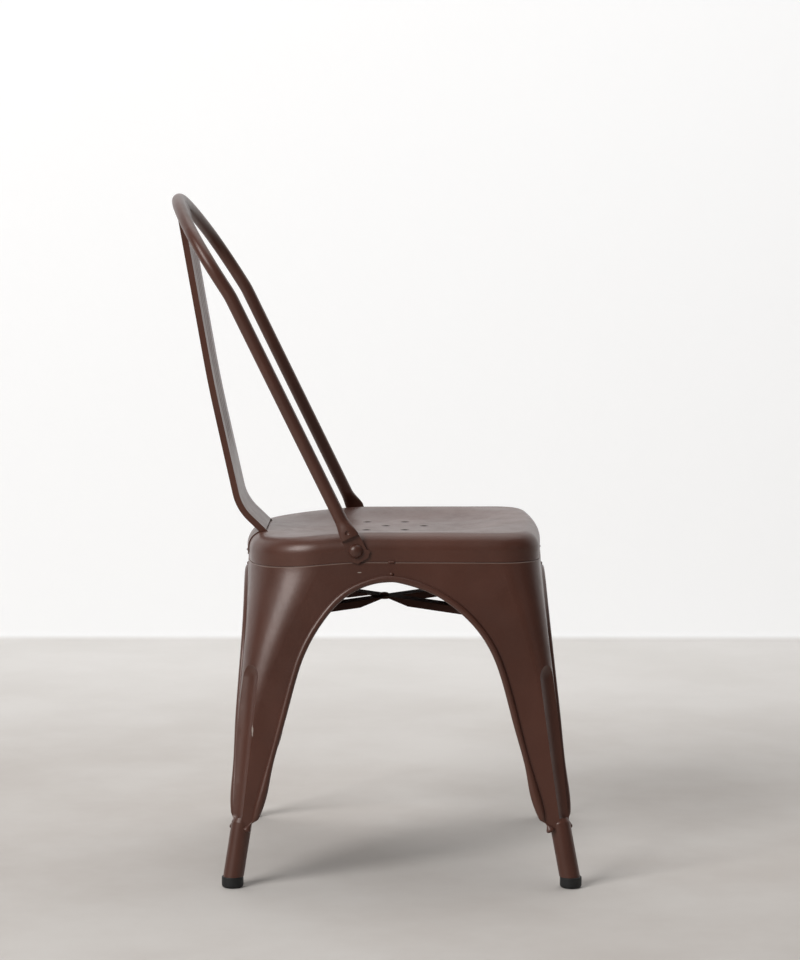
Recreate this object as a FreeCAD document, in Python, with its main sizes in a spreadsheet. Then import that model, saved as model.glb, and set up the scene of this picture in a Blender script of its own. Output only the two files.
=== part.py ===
import FreeCAD, Part
import math
import os

import Sketcher
from FreeCAD import Placement, Rotation, Vector

# A pressed-steel side chair. X runs across the seat, -Y is the front, +Z is up, in millimetres.
# Every piece is worked out about the middle of the four feet, then moved by frame_shift along Y,
# so that the origin lies on the floor under the middle of the whole chair.

doc = FreeCAD.newDocument("side_chair")

SIZES = [
    ("back_height", 850.0, "floor to the top of the back hoop"),
    ("rim_height", 433.0, "floor to the crest of the seat rim"),
    ("rim_dip", 9.0, "how much lower the rim is behind"),
    ("dip_start", 40.0, "behind the middle of the feet, where the rim begins to drop"),
    ("dip_length", 140.0, "how far back the drop takes"),
    ("stance_width", 414.0, "between the middles of the left and right feet"),
    ("stance_depth", 416.0, "between the middles of the front and rear feet"),
    ("sheet", 1.2, "sheet steel of the seat and legs"),
    ("seat_front", 176.0, "middle of the feet to the front of the skirt"),
    ("seat_rear", 197.0, "middle of the feet to the back of the skirt"),
    ("front_half", 176.5, "half the width of the seat, at its front"),
    ("rear_half", 167.0, "half the width of the seat, carried on to its back"),
    ("front_corner", 48.0, "plan radius of the two front corners"),
    ("rear_corner", 92.0, "plan radius of the two rear corners"),
    ("front_bow", 1500.0, "plan radius of the front edge"),
    ("rear_bow", 600.0, "plan radius of the rear edge"),
    ("rim_radius", 20.0, "rolled-over rim of the seat"),
    ("dish_depth", 9.0, "how far the middle of the seat is below the rim"),
    ("skirt_depth", 34.5, "rim crest to the lower edge of the skirt"),
    ("drain_hole", 6.5, "diameter of a drain hole"),
    ("drain_pitch", 49.0, "between holes of one row"),
    ("drain_row", 46.0, "between rows of holes"),
    ("drain_back", 21.0, "middle of the feet to the middle hole"),
    ("seam_gap", 0.7, "groove between the skirt and the legs"),
    ("lap", 6.5, "how far a leg tucks up inside the skirt"),
    ("side_seam", 12.5, "middle of the feet back to the joint of two legs"),
    ("corner_fade", 2.2, "how quickly a leg's corner tightens downwards"),
    ("bow_fade", 3.0, "how quickly the front and rear faces straighten downwards"),
    ("side_swell", 2.0, "outward swell of the side faces at half height"),
    ("front_swell", -0.7, "outward swell of the front faces at half height"),
    ("rear_swell", 0.2, "outward swell of the rear faces at half height"),
    ("crown_side", 377.7, "floor to the top of a side arch, at the middle of its rolled edge"),
    ("crown_end", 370.2, "the same for the front and rear arches"),
    ("wing_front", 37.2, "rolled edge to the outside of a front leg, near the foot"),
    ("wing_rear", 34.3, "rolled edge to the outside of a rear leg, near the foot"),
    ("wing_level", 110.0, "height at which those two widths are taken"),
    ("wing_lean", 15.1, "slope of the arch edge from upright, in degrees"),
    ("crown_rear", 98.2, "radius of a side arch at its crown, rear half"),
    ("crown_front", 34.2, "radius of a side arch at its crown, front half"),
    ("crown_cross", 74.2, "radius of a front or rear arch at its crown"),
    ("haunch_rear", 212.6, "radius of a side arch at its haunch, rear half"),
    ("haunch_front", 163.2, "radius of a side arch at its haunch, front half"),
    ("haunch_cross", 184.2, "radius of a front or rear arch at its haunch"),
    ("bead", 8.4, "diameter of the rolled edge of an arch"),
    ("wing_end", 90.0, "floor to where a wing's edge turns in towards the tube"),
    ("wing_turn", 9.5, "radius of that turn"),
    ("wing_cut", 50.0, "slope of the edge below the turn, in degrees"),
    ("wing_foot", 70.0, "floor to the lowest point of a wing"),
    ("bead_tip", 2.6, "diameter of the rolled edge where it ends on the tube"),
    ("flute_head", 260.0, "height of the flute's upper ball"),
    ("flute_foot", 92.0, "height of the flute's lower ball"),
    ("flute_head_radius", 26.0, "radius of the flute at its upper end"),
    ("flute_foot_radius", 18.0, "radius of the flute at its lower end"),
    ("flute_depth", 5.5, "how deep the flute is pressed"),
    ("stub_diameter", 25.2, "rolled tube at the foot of a leg"),
    ("stub_wall", 2.2, "wall of that tube"),
    ("stub_top", 84.0, "height at which the tube opens into the wings"),
    ("stub_proud", 0.6, "step from the leg's corner out to the tube"),
    ("stub_taper", 6.0, "length over which the top of the tube draws in"),
    ("stub_draw", 2.4, "how much the tube's radius draws in there"),
    ("front_lean", 10.5, "forward lean of the front tubes, in degrees"),
    ("rear_lean", 8.8, "backward lean of the rear tubes, in degrees"),
    ("splay", 8.0, "outward lean of all four tubes, in degrees"),
    ("foot_diameter", 26.8, "rubber foot"),
    ("foot_height", 13.5, "rubber showing below the tube"),
    ("foot_round", 3.5, "rounding of the foot's lower edge"),
    ("foot_ease", 0.8, "rounding of the foot's upper edge"),
    ("plug_length", 22.0, "stem of the foot inside the tube"),
    ("plug_clearance", 0.15, "between the stem and the tube, all round"),
    ("tube", 16.0, "diameter of the back hoop"),
    ("tube_wall", 1.4, "wall of the back hoop"),
    ("hoop_half", 175.0, "middle of the chair to the hoop's axis at its widest"),
    ("hoop_rise", 115.0, "widest point to the top, along the hoop's slope"),
    ("hoop_corner", 85.0, "radius of the hoop's shoulders"),
    ("hoop_flare", 3.0, "opening of the hoop upwards, in degrees"),
    ("knee_height", 725.0, "floor to the bend in the hoop"),
    ("knee_radius", 120.0, "radius of that bend"),
    ("lower_lean", 26.0, "backward lean below the bend, in degrees"),
    ("upper_lean", 32.6, "backward lean above the bend, in degrees"),
    ("rivet_back", 56.5, "middle of the feet back to the hoop's rivets"),
    ("rivet_drop", 21.0, "rim crest down to the hoop's rivets"),
    ("tab_thick", 3.0, "flattened end of the hoop"),
    ("tab_front", 12.9, "rivet to the front edge of the flattened end"),
    ("tab_back", 10.8, "rivet to the back edge of the flattened end"),
    ("tab_drop", 15.6, "rivet to the lower edge of the flattened end"),
    ("tab_step", 15.5, "rivet up to the crease below the round tube"),
    ("crush_length", 31.0, "crease up to where the tube is fully round"),
    ("dimple", 6.5, "diameter of the dent above the crease"),
    ("dimple_rise", 9.4, "crease up to the middle of that dent"),
    ("rivet_head", 17.8, "diameter of the domed rivet heads"),
    ("rivet_dome", 6.6, "height of the domed heads"),
    ("rivet_shank", 6.4, "diameter of the rivets"),
    ("rivet_tail", 10.5, "diameter of the set heads inside"),
    ("rivet_set", 2.4, "height of the set heads inside"),
    ("washer", 13.5, "diameter of the washers inside"),
    ("washer_thick", 1.2, "thickness of those washers"),
    ("hole_clearance", 0.15, "between a rivet and its hole, all round"),
    ("splat_width", 128.0, "width of the back splat"),
    ("splat_flange", 8.0, "depth of its folded edges"),
    ("splat_sheet", 1.2, "sheet steel of the splat"),
    ("splat_lean", 9.9, "backward lean of the splat's upper part, in degrees"),
    ("splat_hollow_height", 610.0, "floor to the middle of the splat's gentle hollow"),
    ("splat_hollow_radius", 1600.0, "radius of that hollow"),
    ("splat_low_lean", 12.4, "backward lean of the splat's lower part, in degrees"),
    ("splat_set", 7.0, "how far the splat's face is in front of the hoop's axis at the top"),
    ("splat_bend_height", 456.0, "floor to the bend near the splat's foot"),
    ("splat_bend_radius", 58.0, "radius of that bend"),
    ("splat_foot_lean", 46.0, "lean of the splat below the bend, in degrees"),
    ("splat_gap", 0.15, "between the splat's foot and the seat"),
    ("splat_slit", 2.6, "slit between the splat's face and the seat"),
    ("rib_width", 9.0, "width of an embossed rib"),
    ("rib_rise", 0.7, "height of an embossed rib"),
    ("rib_spacing", 24.0, "between the ribs of the splat"),
    ("rib_foot", 505.0, "floor to the lower end of the ribs"),
    ("rib_head", 800.0, "floor to the upper end of the ribs"),
    ("tongue_drop", 27.0, "rim crest down to the end of the tongue"),
    ("brace_height", 335.0, "floor to the top of the upper cross brace"),
    ("brace_back", 23.0, "middle of the feet back to where the braces cross"),
    ("brace_turn", 43.2, "angle of a brace from the chair's width, in degrees"),
    ("brace_width", 24.0, "width of a cross brace"),
    ("brace_sheet", 1.5, "sheet steel of the braces"),
    ("brace_lip", 9.0, "depth of a brace's folded edges at its ends"),
    ("brace_flat", 17.0, "half the length left flat where the braces cross"),
    ("brace_fade", 40.0, "length over which the folded edges then grow to full depth"),
    ("brace_shoe", 15.0, "height of the flange that meets the leg"),
    ("brace_gap", 0.1, "room between a brace's end and the leg"),
    ("weld_pip", 5.2, "diameter of the weld pips at the arch crowns"),
    ("tack_length", 9.0, "length of a tack weld across the skirt seam"),
    ("weld_bead", 4.0, "thickness of a run of weld"),
]

sheet = doc.addObject("Spreadsheet::Sheet", "Sizes")
for row, (alias, number, words) in enumerate(SIZES, start=1):
    sheet.set("A%d" % row, words)
    sheet.set("B%d" % row, str(number))
    sheet.setAlias("B%d" % row, alias)
doc.recompute()


class Sheet:
    """Reads a size by its name, such as size.rim_height."""

    def __getattr__(self, name):
        return float(getattr(sheet, name))


size = Sheet()


def tangent(degrees):
    return math.tan(math.radians(degrees))


def smooth(fraction):
    fraction = min(1.0, max(0.0, fraction))
    return fraction * fraction * (3.0 - 2.0 * fraction)


def between(start, end, fraction):
    return start + (end - start) * fraction


# Planes and levels that several pieces share.
seam_height = size.rim_height - size.skirt_depth
stub_radius = size.stub_diameter / 2.0
bead_radius = size.bead / 2.0
tube_radius = size.tube / 2.0
hoop_top = size.back_height - tube_radius
widest_height = hoop_top - size.hoop_rise * math.cos(math.radians(size.upper_lean))
rivet_height = size.rim_height - size.rivet_drop
knee_back = size.rivet_back + tangent(size.lower_lean) * (size.knee_height - rivet_height)
crown_back = knee_back + tangent(size.upper_lean) * (hoop_top - size.knee_height)
reach_front = size.stance_depth / 2.0 + size.foot_diameter / 2.0
reach_rear = crown_back + tube_radius
frame_shift = (reach_front - reach_rear) / 2.0
FAR = 300.0


def dip(y):
    """How much lower the seat is at y than at its front."""
    return size.rim_dip * smooth((y - size.dip_start) / size.dip_length)


def slab(low, high):
    """Everything between two heights, both of which drop behind as the seat does."""
    stations = [-FAR + 20.0 * step for step in range(31)]

    def edge(height):
        curve = Part.BSplineCurve()
        curve.interpolate([Vector(-FAR, y, height - dip(y)) for y in stations])
        return curve.toShape()

    lower = edge(low)
    upper = edge(high)
    front = Part.makeLine(Vector(-FAR, -FAR, low), Vector(-FAR, -FAR, high))
    back = Part.makeLine(Vector(-FAR, FAR, low - dip(FAR)), Vector(-FAR, FAR, high - dip(FAR)))
    face = Part.Face(Part.Wire(Part.__sortEdges__([lower, back, upper, front])))
    return face.extrude(Vector(2.0 * FAR, 0, 0))


def cubic_arc(start, middle, end):
    """An arc drawn as one cubic curve, which keeps the lofted faces simple."""
    arc = Part.Arc(start, middle, end).toShape()
    turn = arc.Length / arc.Curve.Radius
    reach = 4.0 / 3.0 * math.tan(turn / 4.0) * arc.Curve.Radius
    leave = arc.tangentAt(arc.FirstParameter)
    arrive = arc.tangentAt(arc.LastParameter)
    if leave.dot(middle - start) < 0.0:
        leave, arrive = arrive * -1.0, leave * -1.0
    curve = Part.BezierCurve()
    curve.setPoles([start, start + leave * reach, end - arrive * reach, end])
    return curve.toBSpline().toShape()


class Plan:
    """One level's outline: bowed front and rear, straight sides, round corners."""

    def __init__(self, front, rear, front_half, rear_half, corners, bows, inset=0.0):
        start = Vector(front_half, -front, 0)
        end = Vector(rear_half, rear, 0)
        self.along = (end - start).normalize()
        self.inward = Vector(-self.along.y, self.along.x, 0)
        self.start = start + self.inward * inset
        self.front = -front + inset
        self.rear = rear - inset
        self.front_radius = corners[0] - inset
        self.rear_radius = corners[1] - inset
        self.front_bow = bows[0] - inset
        self.rear_bow = bows[1] - inset
        self.front_middle = Vector(0, -front + bows[0], 0)
        self.rear_middle = Vector(0, rear - bows[1], 0)

    def side(self, y):
        """Half-width of the straight side at y."""
        return self.start.x + self.along.x * (y - self.start.y) / self.along.y

    def end(self, x, sign):
        """Where the front (-1) or rear (1) edge is at x."""
        middle, bow = (self.rear_middle, self.rear_bow) if sign > 0 else (self.front_middle, self.front_bow)
        return middle.y + sign * math.sqrt(bow * bow - x * x)

    def corner(self, sign):
        """Ends and middle of the front (-1) or rear (1) corner arc, from the edge to the side."""
        radius = self.rear_radius if sign > 0 else self.front_radius
        bow = self.rear_bow if sign > 0 else self.front_bow
        middle = self.rear_middle if sign > 0 else self.front_middle
        base = self.start + self.inward * radius - middle
        forward = base.dot(self.along)
        root = math.sqrt(forward * forward - base.dot(base) + (bow - radius) ** 2)
        centre = middle + base + self.along * (-forward + sign * root)
        on_edge = middle + (centre - middle) * (bow / (bow - radius))
        on_side = centre - self.inward * radius
        outward = ((on_edge - centre) + (on_side - centre)).normalize()
        return on_edge, centre + outward * radius, on_side

    def wire(self, height):
        """The whole outline as one closed wire."""

        def at(point, flip=1.0):
            return Vector(flip * point.x, point.y, height)

        front_edge, front_mid, front_side = self.corner(-1)
        rear_edge, rear_mid, rear_side = self.corner(1)
        middle_front = Vector(0, self.front, 0)
        middle_rear = Vector(0, self.rear, 0)
        edges = [
            Part.Arc(at(front_edge, -1), at(middle_front), at(front_edge)).toShape(),
            Part.Arc(at(front_edge), at(front_mid), at(front_side)).toShape(),
            Part.makeLine(at(front_side), at(rear_side)),
            Part.Arc(at(rear_side), at(rear_mid), at(rear_edge)).toShape(),
            Part.Arc(at(rear_edge), at(middle_rear), at(rear_edge, -1)).toShape(),
            Part.Arc(at(rear_edge, -1), at(rear_mid, -1), at(rear_side, -1)).toShape(),
            Part.makeLine(at(rear_side, -1), at(front_side, -1)),
            Part.Arc(at(front_side, -1), at(front_mid, -1), at(front_edge, -1)).toShape(),
        ]
        return Part.Wire(edges)


def seat_plan(inset=0.0):
    corners = (size.front_corner, size.rear_corner)
    bows = (size.front_bow, size.rear_bow)
    return Plan(size.seat_front, size.seat_rear, size.front_half, size.rear_half, corners, bows, inset)


def stub_axis(end):
    """Direction of the tube at the foot of a leg on the +X side, upwards."""
    lean = size.rear_lean if end > 0 else size.front_lean
    return Vector(-tangent(size.splay), -end * tangent(lean), 1.0)


def stub_at(end, height):
    """Where the middle of that tube is at a height; it meets the foot's middle half-way up."""
    foot = Vector(size.stance_width / 2.0, end * size.stance_depth / 2.0, size.foot_height / 2.0)
    return foot + stub_axis(end) * (height - foot.z)


def leg_plan(height, inset=0.0):
    """Outline of the four legs' outer faces at a height, from the skirt down to the tubes."""
    drop = seam_height - size.stub_top
    front_part = max(0.0, (seam_height - height) / drop)
    rear_part = max(0.0, (seam_height - size.rim_dip - height) / (drop - size.rim_dip))
    foot = stub_radius - size.stub_proud
    front_foot = foot - stub_at(-1, size.stub_top).y
    rear_foot = foot + stub_at(1, size.stub_top).y
    side_foot = foot + stub_at(1, size.stub_top).x

    def swell(part, amount):
        return amount * 4.0 * part * (1.0 - part)

    def fade(part):
        return max(0.0, 1.0 - part) ** size.corner_fade

    front = between(size.seat_front, front_foot, front_part) + swell(front_part, size.front_swell)
    rear = between(size.seat_rear, rear_foot, rear_part) + swell(rear_part, size.rear_swell)
    front_half = between(size.front_half, side_foot, front_part) + swell(front_part, size.side_swell)
    rear_half = between(size.rear_half, side_foot, rear_part) + swell(rear_part, size.side_swell)
    corners = (
        foot + (size.front_corner - foot) * fade(front_part),
        foot + (size.rear_corner - foot) * fade(rear_part),
    )

    def straight(part):
        return 1.0 / max(0.02, max(0.0, 1.0 - part) ** size.bow_fade)

    bows = (size.front_bow * straight(front_part), size.rear_bow * straight(rear_part))
    return Plan(front, rear, front_half, rear_half, corners, bows, inset)


# Seat pan.
def seat_top(lower=0.0):
    """The seat's upper surface: a level crest, a shallow dish and the drop behind."""
    plan = seat_plan()
    middle = (plan.rear + plan.front) / 2.0
    half_length = (plan.rear - plan.front) / 2.0 - size.rim_radius
    half_width = (size.front_half + size.rear_half) / 2.0 - size.rim_radius
    full_depth = 0.45

    def height(x, y):
        away = (abs(x / half_width) ** 3 + abs((y - middle) / half_length) ** 3) ** (1.0 / 3.0)
        dish = size.dish_depth * smooth((1.0 - away) / (1.0 - full_depth))
        return size.rim_height - lower - dip(y) - dish

    steps = 30
    reach = 1.35 * max(half_width, half_length)
    grid = []
    for i in range(steps + 1):
        x = -reach + 2.0 * reach * i / steps
        line = []
        for j in range(steps + 1):
            y = middle - reach + 2.0 * reach * j / steps
            line.append(Vector(x, y, height(x, y)))
        grid.append(line)
    surface = Part.BSplineSurface()
    surface.interpolate(grid)
    return surface.toShape()


def seat_block(inset, floor_level):
    """The seat as a solid block with a rolled rim, inset from its outside by one sheet or none."""
    outline = Part.Face(seat_plan(inset).wire(floor_level))
    prism = outline.extrude(Vector(0, 0, size.rim_height + 20.0 - floor_level))
    cover = seat_top(inset).extrude(Vector(0, 0, -3.0 * size.skirt_depth))
    block = prism.common(cover)
    rim = []
    limit = size.rim_height - size.rim_dip - size.dish_depth - 2.0 * inset - 2.0
    for edge in block.Edges:
        box = edge.BoundBox
        upright = box.ZLength > size.rim_dip + size.dish_depth
        if box.ZMin > limit and not upright:
            rim.append(edge)
    return block.makeFillet(size.rim_radius - inset, rim)


def drain_holes():
    """Seven holes: three along the middle and two each side."""
    spots = [(0.0, step * size.drain_pitch) for step in (-1, 0, 1)]
    for side in (-1, 1):
        for half in (-0.5, 0.5):
            spots.append((side * size.drain_row, half * size.drain_pitch))
    holes = []
    for x, y in spots:
        foot = Vector(x, y + size.drain_back, size.rim_height - 3.0 * size.dish_depth)
        holes.append(Part.makeCylinder(size.drain_hole / 2.0, 4.0 * size.dish_depth, foot))
    return holes


def make_seat_pan():
    low = size.rim_height - 2.0 * size.skirt_depth
    outer = seat_block(0.0, low)
    inner = seat_block(size.sheet, low - 5.0)
    pan = outer.cut(inner)
    pan = pan.common(slab(seam_height, size.rim_height + 30.0))
    hole = size.rivet_shank / 2.0 + size.hole_clearance
    cross = Part.makeCylinder(hole, 2.0 * FAR, Vector(-FAR, size.rivet_back, rivet_height), Vector(1, 0, 0))
    return pan.cut(drain_holes() + [cross])


# Legs.
class Arch:
    """Half of an arch edge, in its own plane: out is away from the joint of two legs."""

    def __init__(self, crown, near_radius, far_radius, wing_out, tube_out):
        self.crown = crown
        self.tube_out = tube_out
        slope = tangent(size.wing_lean)
        length = math.hypot(1.0, slope)
        self.normal = (1.0 / length, slope / length)
        self.along = (-slope / length, 1.0 / length)
        self.near = (0.0, crown - near_radius)
        self.near_radius = near_radius
        self.far_radius = far_radius
        base = (wing_out - far_radius * self.normal[0] - self.near[0],
                size.wing_level - far_radius * self.normal[1] - self.near[1])
        forward = base[0] * self.along[0] + base[1] * self.along[1]
        apart = far_radius - near_radius
        root = math.sqrt(max(0.0, forward ** 2 - base[0] ** 2 - base[1] ** 2 + apart ** 2))
        travel = -forward - root
        self.far = (self.near[0] + base[0] + travel * self.along[0],
                    self.near[1] + base[1] + travel * self.along[1])
        reach = size.wing_turn - (size.wing_end - size.wing_level) * self.normal[1]
        self.turn = (wing_out + reach / self.normal[0], size.wing_end)

    def angles(self):
        """Where the crown arc hands over to the haunch arc, and that to the straight edge."""
        hand = math.atan2(self.near[1] - self.far[1], self.near[0] - self.far[0])
        last = math.atan2(self.normal[1], self.normal[0])
        return hand, last

    def on(self, centre, radius, angle):
        return centre[0] + radius * math.cos(angle), centre[1] + radius * math.sin(angle)

    def foot_run(self):
        """The angles of the turn near the foot, and the ends of the sloping edge below it."""
        first = self.angles()[1] + math.pi
        final = 1.5 * math.pi - math.radians(size.wing_cut)
        top = self.on(self.turn, size.wing_turn, final)
        out = top[0] + (top[1] - size.wing_foot) / tangent(size.wing_cut)
        return first, final, top, (min(out, self.tube_out), size.wing_foot)

    def outline(self):
        """Arcs and lines from the crown to the foot, as (start, middle, end) or (start, end)."""
        hand, last = self.angles()
        top = (0.0, self.crown)
        join = self.on(self.near, self.near_radius, hand)
        leave = self.on(self.far, self.far_radius, last)
        first, final, turn_end, foot = self.foot_run()
        turn_start = self.on(self.turn, size.wing_turn, first)
        turn_mid = self.on(self.turn, size.wing_turn, (first + final) / 2.0)
        return [
            (top, self.on(self.near, self.near_radius, (math.pi / 2.0 + hand) / 2.0), join),
            (join, self.on(self.far, self.far_radius, (hand + last) / 2.0), leave),
            (leave, turn_start),
            (turn_start, turn_mid, turn_end),
            (turn_end, foot),
        ]

    def points(self):
        """Closely spaced points from the crown to the foot."""
        hand, last = self.angles()
        places = []
        for step in range(3):
            places.append(self.on(self.near, self.near_radius, between(math.pi / 2.0, hand, step / 3.0)))
        for step in range(5):
            places.append(self.on(self.far, self.far_radius, between(hand, last, step / 5.0)))
        leave = self.on(self.far, self.far_radius, last)
        first, final, turn_end, foot = self.foot_run()
        turn_start = self.on(self.turn, size.wing_turn, first)
        for step in range(3):
            places.append((between(leave[0], turn_start[0], step / 3.0),
                           between(leave[1], turn_start[1], step / 3.0)))
        for step in range(3):
            places.append(self.on(self.turn, size.wing_turn, between(first, final, step / 2.0)))
        for step in (1, 2):
            places.append((between(turn_end[0], foot[0], step / 2.0),
                           between(turn_end[1], foot[1], step / 2.0)))
        return places


def leg_arches(end):
    """The side arch and the cross arch of a front (-1) or rear (1) leg."""
    plan = leg_plan(size.wing_level)
    depth = plan.rear if end > 0 else -plan.front
    offset = end * size.side_seam
    near = size.crown_rear if end > 0 else size.crown_front
    far = size.haunch_rear if end > 0 else size.haunch_front
    wing = size.wing_rear if end > 0 else size.wing_front
    tube = stub_at(end, size.wing_foot)
    side = Arch(size.crown_side, near, far, depth - offset - wing, end * tube.y - offset)
    half = plan.side(end * depth)
    cross = Arch(size.crown_end, size.crown_cross, size.haunch_cross, half - wing, tube.x)
    return side, cross


def side_point(end, out, height):
    """A point of the side arch, laid on the leg's outer face."""
    y = size.side_seam + end * out
    return Vector(leg_plan(height).side(y), y, height)


def cross_point(end, out, height):
    """A point of the front or rear arch, laid on the leg's outer face."""
    return Vector(out, leg_plan(height).end(out, end), height)


def leg_block(end, inset, overrun):
    """The quarter of the chair inside a leg's faces, as a solid lofted from foot to skirt."""
    low = size.stub_top - 18.0
    high = seam_height + 12.0
    count = 10
    wires = []
    for step in range(count + 1):
        height = between(low, high, step / count)
        plan = leg_plan(height, inset)
        edge, mid, side = plan.corner(end)
        seam = size.side_seam - end * overrun
        start = Vector(-overrun, plan.end(-overrun, end), 0)
        bowed = Vector(edge.x / 2.0, plan.end(edge.x / 2.0, end), 0)
        joint = Vector(plan.side(seam), seam, 0)
        inside = Vector(-overrun, seam, 0)
        points = [start, bowed, edge, mid, side, joint, inside]
        start, bowed, edge, mid, side, joint, inside = [p + Vector(0, 0, height) for p in points]
        wires.append(Part.Wire([
            cubic_arc(start, bowed, edge),
            cubic_arc(edge, mid, side),
            Part.makeLine(side, joint),
            Part.makeLine(joint, inside),
            Part.makeLine(inside, start),
        ]))
    return Part.makeLoft(wires, True, False)


def flute(end, grow):
    """The long groove along a leg's corner: two balls and the cone that joins them."""
    balls = []
    for height, radius in ((size.flute_head, size.flute_head_radius), (size.flute_foot, size.flute_foot_radius)):
        corner = leg_plan(height).corner(end)[1]
        outward = Vector(1, end, 0).normalize()
        centre = corner + outward * (radius - size.flute_depth) + Vector(0, 0, height)
        balls.append((centre, radius + grow))
    (head, head_radius), (foot, foot_radius) = balls
    axis = head - foot
    length = axis.Length
    turn = (head_radius - foot_radius) / length
    lift = math.sqrt(1.0 - turn * turn)
    cone_foot = foot - axis.normalize() * foot_radius * turn
    cone_length = length - (head_radius - foot_radius) * turn
    cone = Part.makeCone(foot_radius * lift, head_radius * lift, cone_length, cone_foot, axis)
    return cone.fuse([Part.makeSphere(foot_radius, foot), Part.makeSphere(head_radius, head)])


def arch_cut(end, arch, across):
    """What an arch takes away from a leg: its half outline, extruded through the face."""

    def at(place):
        out, height = place
        if across:
            return Vector(out, 0, height)
        return Vector(0, size.side_seam + end * out, height)

    low = size.stub_top - 40.0
    edges = []
    for piece in arch.outline():
        if len(piece) == 3:
            edges.append(Part.Arc(at(piece[0]), at(piece[1]), at(piece[2])).toShape())
        else:
            edges.append(Part.makeLine(at(piece[0]), at(piece[1])))
    before = -10.0
    ring = [arch.outline()[-1][1], (FAR, size.wing_foot), (FAR, low),
            (before, low), (before, arch.crown), (0.0, arch.crown)]
    for first, second in zip(ring, ring[1:]):
        edges.append(Part.makeLine(at(first), at(second)))
    face = Part.Face(Part.Wire(edges))
    if across:
        return face.extrude(Vector(0, end * FAR, 0))
    return face.extrude(Vector(FAR, 0, 0))


def rolled_bead(places, seam_way, face_way):
    """A round bead along points laid on the leg, squarely cut where two legs meet, thin at its tip."""
    rings = []
    last = len(places) - 1
    tip = 4
    for number, centre in enumerate(places):
        ahead = places[min(number + 1, last)] - places[max(number - 1, 0)]
        if number == 0:
            ahead = seam_way
        ahead = Vector(ahead).normalize()
        across = ahead.cross(face_way).normalize()
        upright = across.cross(ahead)

        thin = smooth((number - last + tip) / tip)
        radius = between(bead_radius, size.bead_tip / 2.0, thin)

        def at(degrees):
            angle = math.radians(degrees)
            return centre + (across * math.cos(angle) + upright * math.sin(angle)) * radius

        quarters = [cubic_arc(at(start), at(start + 45), at(start + 90)) for start in (45, 135, 225, 315)]
        rings.append(Part.Wire(quarters))
    return Part.makeLoft(rings, True, False)


def lap_strip(end):
    """The upper edge of a leg, joggled in by one sheet to tuck up inside the skirt."""

    def ring(outside, low, high):
        floor_level = seam_height - 40.0
        bands = []
        for inset in (outside, 2.0 * size.sheet + 0.1):
            face = Part.Face(seat_plan(inset).wire(floor_level))
            bands.append(face.extrude(Vector(0, 0, 100.0)))
        return bands[0].cut(bands[1]).common(slab(low, high))

    joggle = ring(size.sheet / 4.0, seam_height - size.lap, seam_height - size.seam_gap)
    tuck = ring(size.sheet + 0.1, seam_height - size.lap, seam_height + size.lap)
    strip = joggle.fuse(tuck)
    corner = Vector(0, size.side_seam, 0)
    if end < 0:
        corner = Vector(0, size.side_seam - FAR, 0)
    quarter = Part.makeBox(FAR, FAR, 2.0 * FAR, corner)
    return strip.common(quarter)


def stub_tube(end):
    axis = stub_axis(end)
    below = 10.0
    start = stub_at(end, -below)
    top = stub_at(end, size.stub_top)
    length = (top - start).Length
    straight = length - size.stub_taper
    shoulder = start + (top - start) * (straight / length)
    narrow = stub_radius - size.stub_draw
    cone = Part.makeCone(stub_radius, narrow, size.stub_taper, shoulder, axis)
    outer = Part.makeCylinder(stub_radius, straight, start, axis).fuse(cone)
    bore = Part.makeCylinder(stub_radius - size.stub_wall, length + 2.0 * below, start, axis)
    floor_box = Part.makeBox(2.0 * FAR, 2.0 * FAR, FAR, Vector(-FAR, -FAR, size.foot_height - FAR))
    return outer.cut([bore, floor_box])


def make_leg(end):
    """The leg on the +X side, at the front (-1) or rear (1)."""
    side, cross = leg_arches(end)
    outer = leg_block(end, 0.0, 0.0).cut(flute(end, 0.0))
    inner = leg_block(end, size.sheet, 5.0).cut(flute(end, size.sheet))
    wall = outer.cut(inner)
    wall = wall.cut([arch_cut(end, side, False), arch_cut(end, cross, True)])
    wall = wall.common(slab(0.0, seam_height - size.seam_gap))
    side_line = [side_point(end, out, height) for out, height in side.points()]
    cross_line = [cross_point(end, out, height) for out, height in cross.points()]
    side_bead = rolled_bead(side_line, Vector(0, end, 0), Vector(1, 0, 0))
    cross_bead = rolled_bead(cross_line, Vector(1, 0, 0), Vector(0, end, 0))
    leg = wall.fuse(stub_tube(end)).fuse(lap_strip(end))
    return leg.fuse(side_bead).fuse(cross_bead)


def flip(shape):
    return shape.mirror(Vector(0, 0, 0), Vector(1, 0, 0))


# Back hoop.
def rivet_frame():
    """At the right-hand rivet: a point on the skirt, the way back along it and the way out."""
    plan = seat_plan()
    foot = Vector(plan.side(size.rivet_back), size.rivet_back, rivet_height)
    return foot, plan.along, -plan.inward


def hoop_line():
    """Up the hoop's lower part, and across it towards the front, both in the skirt's plane."""
    foot, along, out = rivet_frame()
    lean = math.radians(size.lower_lean)
    upward = along * math.sin(lean) + Vector(0, 0, math.cos(lean))
    forward = along * (-math.cos(lean)) + Vector(0, 0, math.sin(lean))
    return upward, forward


def bend(before, corner, after, radius):
    """An arc that rounds the corner between two straight runs, and its two tangent points."""
    first = (before - corner).normalize()
    second = (after - corner).normalize()
    half = first.getAngle(second) / 2.0
    reach = radius / math.tan(half)
    start = corner + first * reach
    end = corner + second * reach
    centre = corner + (first + second).normalize() * (radius / math.sin(half))
    middle = centre + (corner - centre).normalize() * radius
    return start, middle, end


def round_end():
    """Middle of the tube where it is round again above its flattened end."""
    foot, along, out = rivet_frame()
    upward, forward = hoop_line()
    return foot + upward * (size.tab_step + size.crush_length) + out * (-size.tab_thick)


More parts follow.
